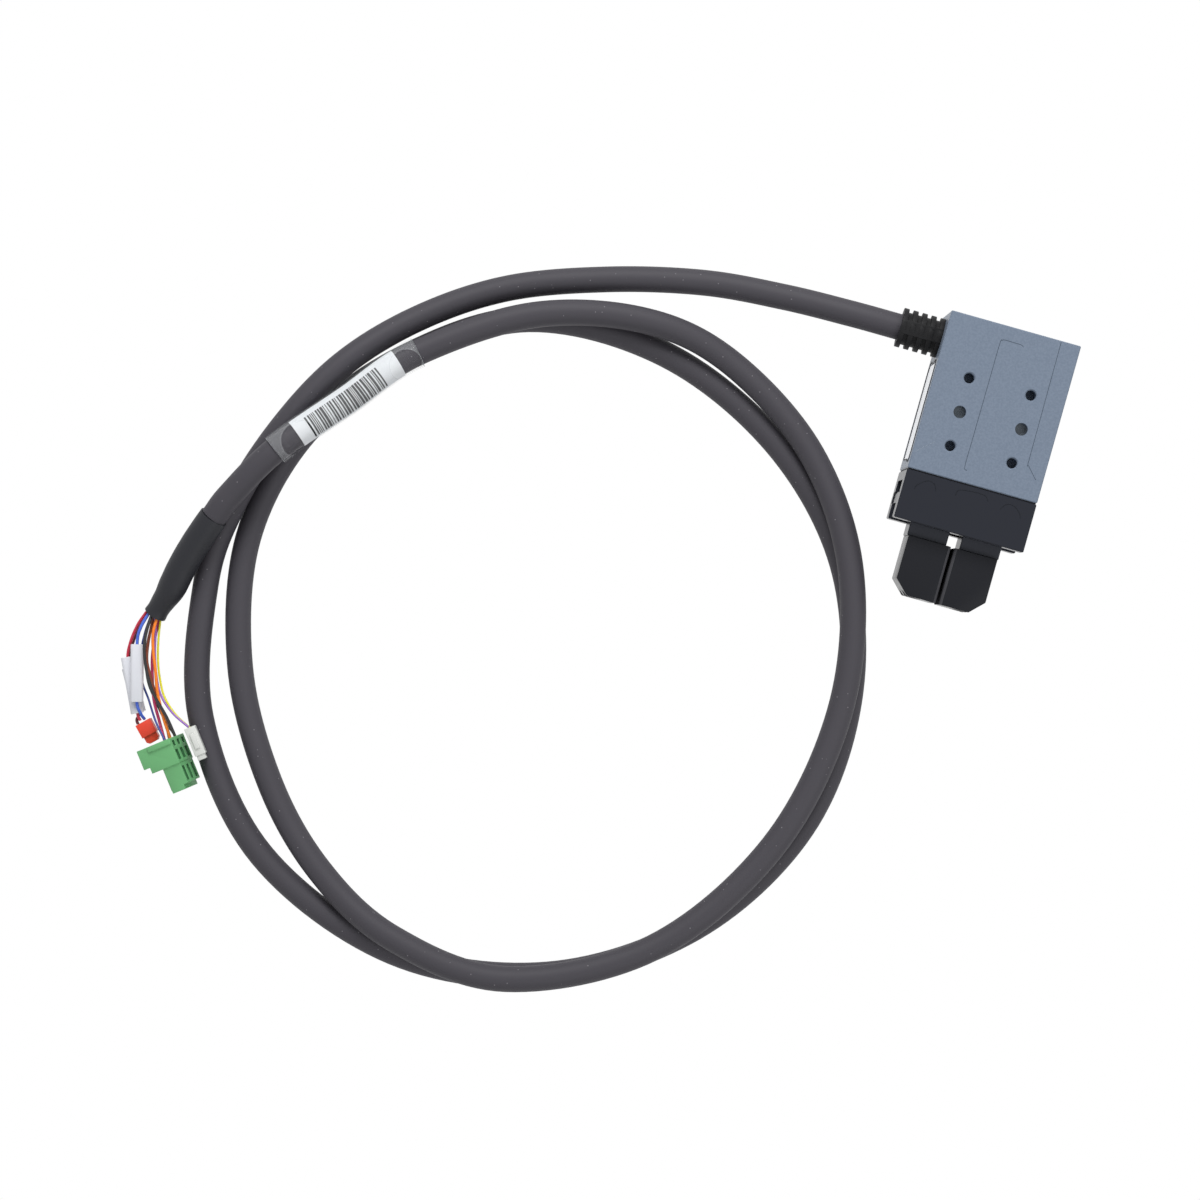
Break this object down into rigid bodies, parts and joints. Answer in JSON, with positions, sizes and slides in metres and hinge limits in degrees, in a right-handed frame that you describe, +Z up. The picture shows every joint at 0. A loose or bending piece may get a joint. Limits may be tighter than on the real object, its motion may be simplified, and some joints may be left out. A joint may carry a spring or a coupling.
{
  "type": "electric two finger gripper",
  "caption": "Electric parallel gripper: a box housing with two short fingers on sliding jaws, four top threads, two dowel bores and a captive coiled cable.",
  "frame": {"origin": "Middle of the gripper's underside, the cable left out, on the surface it lies on", "axes": "+X across the jaws to the right, +Y from the fingers to the rear, +Z up out of the face with the fixing holes"},
  "size_m": [0.2659, 0.2474, 0.028],
  "materials": {
    "blue_anodised_aluminium": "fine bead-blasted blue-grey anodising",
    "black_anodised_aluminium": "matt black anodising, ground bare on the flange ends",
    "black_steel": "matt black oxide",
    "seal_rubber": "matt",
    "bare_plate": "plain satin",
    "machined_steel": "machined",
    "zinc_screws": "zinc plated",
    "gear_brass": "hobbed",
    "bare_aluminium": "machined",
    "dark_plastic": "moulded",
    "copper_winding": "enamelled copper wire",
    "green_board": "solder mask",
    "white_plastic": "moulded",
    "cable_jacket": "smooth matt jacket",
    "clear_sleeve": "clear sleeve over a bare white slip",
    "wire_insulation": "coloured wires",
    "red_plastic": "moulded",
    "green_plastic": "moulded"
  },
  "bodies": {
    "housing": {"main_housing": "blue_anodised_aluminium", "bottom_cover": "black_anodised_aluminium", "cover_gasket": "seal_rubber", "cover_screws": "zinc_screws", "side_plate": "bare_plate", "front_housing": "black_anodised_aluminium", "front_gasket": "seal_rubber", "front_screws": "zinc_screws", "front_bearing": "machined_steel", "rear_bearing": "machined_steel", "shaft_spacer": "machined_steel", "counter_pin": "machined_steel", "gear_plate": "bare_aluminium", "plate_screws": "zinc_screws", "motor_front_bell": "bare_aluminium", "motor_can": "bare_aluminium", "motor_rear_cap": "dark_plastic", "motor_bearings": "machined_steel", "motor_stator": "copper_winding", "motor_screws": "zinc_screws", "motor_leads": "wire_insulation", "encoder_board": "green_board", "control_board": "green_board", "board_parts": "dark_plastic", "board_connector": "white_plastic", "board_screws": "zinc_screws", "cable_boot": "cable_jacket", "inner_cable": "cable_jacket", "cable_collar": "bare_aluminium", "collar_screw": "zinc_screws", "inner_leads": "wire_insulation", "cable": "cable_jacket", "cable_label": "clear_sleeve", "heat_shrink": "cable_jacket", "lead_wires": "wire_insulation", "wire_markers": "white_plastic", "red_plug": "red_plastic", "green_terminal": "green_plastic", "white_plug": "white_plastic"},
    "left_jaw": {"left_base_jaw": "black_anodised_aluminium", "left_rack": "machined_steel", "left_rack_screws": "zinc_screws", "left_finger": "black_steel", "left_finger_screws": "black_steel"},
    "right_jaw": {"right_base_jaw": "black_anodised_aluminium", "right_rack": "machined_steel", "right_rack_screws": "zinc_screws", "right_finger": "black_steel", "right_finger_screws": "black_steel"},
    "output": {"output_shaft": "machined_steel", "output_gear": "gear_brass"},
    "reduction": {"reduction_gear": "gear_brass"},
    "counter": {"counter_gear": "gear_brass"},
    "motor_rotor_set": {"motor_rotor": "machined_steel", "motor_shaft": "machined_steel", "motor_pinion": "gear_brass", "encoder_magnet": "machined_steel"}
  },
  "joints": [
    {"name": "motor_spin", "type": "hinge", "parent": "housing", "child": "motor_rotor_set", "pos_m": [0.00901, -0.00375, 0.011], "axis": [0, 1, 0], "range_deg": [-110, 1311]},
    {"name": "reduction_spin", "type": "hinge", "parent": "housing", "child": "reduction", "pos_m": [0, -0.00375, 0.014], "axis": [0, -1, 0], "range_deg": [-39, 468]},
    {"name": "counter_spin", "type": "hinge", "parent": "housing", "child": "counter", "pos_m": [-0.00968, -0.00375, 0.0115], "axis": [0, 1, 0], "range_deg": [-16.8, 200.7]},
    {"name": "output_spin", "type": "hinge", "parent": "housing", "child": "output", "pos_m": [0, -0.00375, 0.014], "axis": [0, -1, 0], "range_deg": [-7.3, 86.1]},
    {"name": "left_jaw_slide", "type": "slide", "parent": "housing", "child": "left_jaw", "axis": [-1, 0, 0], "range_m": [-0.0005, 0.006]},
    {"name": "right_jaw_slide", "type": "slide", "parent": "housing", "child": "right_jaw", "axis": [1, 0, 0], "range_m": [-0.0005, 0.006]}
  ],
  "couplings": [
    {"joint": "right_jaw_slide", "follows": "left_jaw_slide", "ratio": 1},
    {"joint": "output_spin", "follows": "left_jaw_slide", "rad_per_m": 250},
    {"joint": "counter_spin", "follows": "left_jaw_slide", "rad_per_m": 583.33},
    {"joint": "reduction_spin", "follows": "left_jaw_slide", "rad_per_m": 1361.1},
    {"joint": "motor_spin", "follows": "left_jaw_slide", "rad_per_m": 3811.1}
  ]
}
